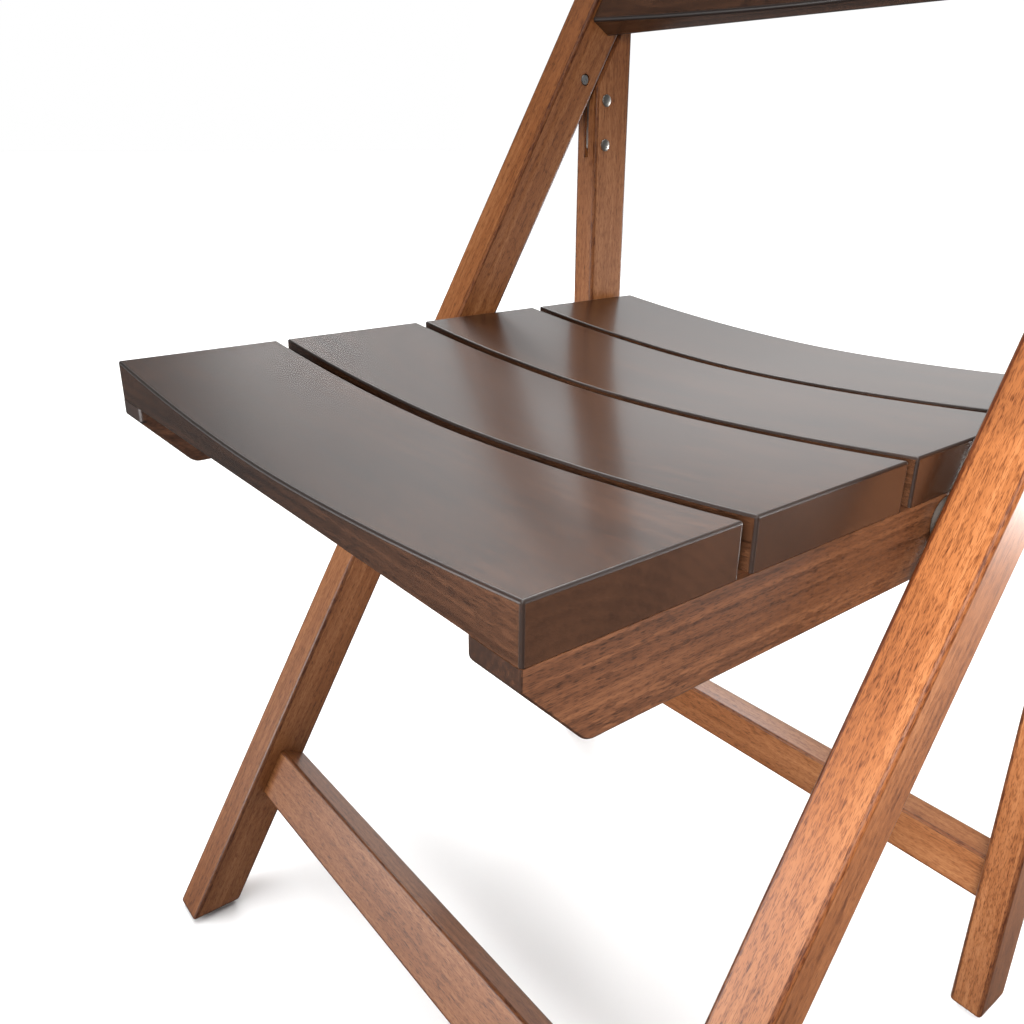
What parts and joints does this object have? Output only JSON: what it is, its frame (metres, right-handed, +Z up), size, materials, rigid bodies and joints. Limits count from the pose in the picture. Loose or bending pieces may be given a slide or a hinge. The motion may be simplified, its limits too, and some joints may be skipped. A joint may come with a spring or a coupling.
{
  "type": "folding chair",
  "caption": "Wooden folding chair with a dished slatted seat, leaning front rails that run up to a slatted back, and upright rear legs that close up behind the rails.",
  "frame": {"origin": "on the floor, under the middle of the chair's box", "axes": "+Z up, +X to the sitter's left, -Y the way the sitter faces"},
  "size_m": [0.4452, 0.478, 0.775],
  "materials": {
    "slat_wood": "dark walnut stain under satin lacquer",
    "cleat_wood": "red-brown walnut stain under satin lacquer",
    "frame_wood": "orange-brown walnut stain under satin lacquer",
    "steel": "zinc plated",
    "nylon": "natural nylon",
    "black_plastic": "matt black"
  },
  "bodies": {
    "front_frame": {"front_stretcher": "frame_wood", "upper_back_slat": "slat_wood", "lower_back_slat": "slat_wood", "left_rail": "frame_wood", "left_hinge_pin": "steel", "left_pivot_bolt": "steel", "left_pivot_insert": "steel", "left_pivot_spacer": "nylon", "left_front_glide": "black_plastic", "right_rail": "frame_wood", "right_hinge_pin": "steel", "right_pivot_bolt": "steel", "right_pivot_insert": "steel", "right_pivot_spacer": "nylon", "right_front_glide": "black_plastic"},
    "rear_frame": {"rear_stretcher": "frame_wood", "seat_rod": "steel", "left_rear_leg": "frame_wood", "left_hinge_plate": "steel", "left_upper_rivet": "steel", "left_lower_rivet": "steel", "left_rear_glide": "black_plastic", "right_rear_leg": "frame_wood", "right_hinge_plate": "steel", "right_upper_rivet": "steel", "right_lower_rivet": "steel", "right_rear_glide": "black_plastic"},
    "seat": {"seat_slat_1": "slat_wood", "seat_slat_2": "slat_wood", "seat_slat_3": "slat_wood", "seat_slat_4": "slat_wood", "left_cleat": "cleat_wood", "left_slat_screw_1": "steel", "left_slat_screw_2": "steel", "left_slat_screw_3": "steel", "left_slat_screw_4": "steel", "right_cleat": "cleat_wood", "right_slat_screw_1": "steel", "right_slat_screw_2": "steel", "right_slat_screw_3": "steel", "right_slat_screw_4": "steel"}
  },
  "joints": [
    {"name": "seat_fold", "type": "hinge", "parent": "front_frame", "child": "seat", "pos_m": [0, 0.01353, 0.403], "axis": [1, 0, 0], "range_deg": [0, 59.65]},
    {"name": "rear_leg_fold", "type": "hinge", "parent": "front_frame", "child": "rear_frame", "pos_m": [0, 0.13443, 0.60157], "axis": [-1, 0, 0], "range_deg": [0, 31.05]}
  ],
  "couplings": [
    {"joint": "rear_leg_fold", "follows": "seat_fold", "ratio": 0.52054}
  ]
}
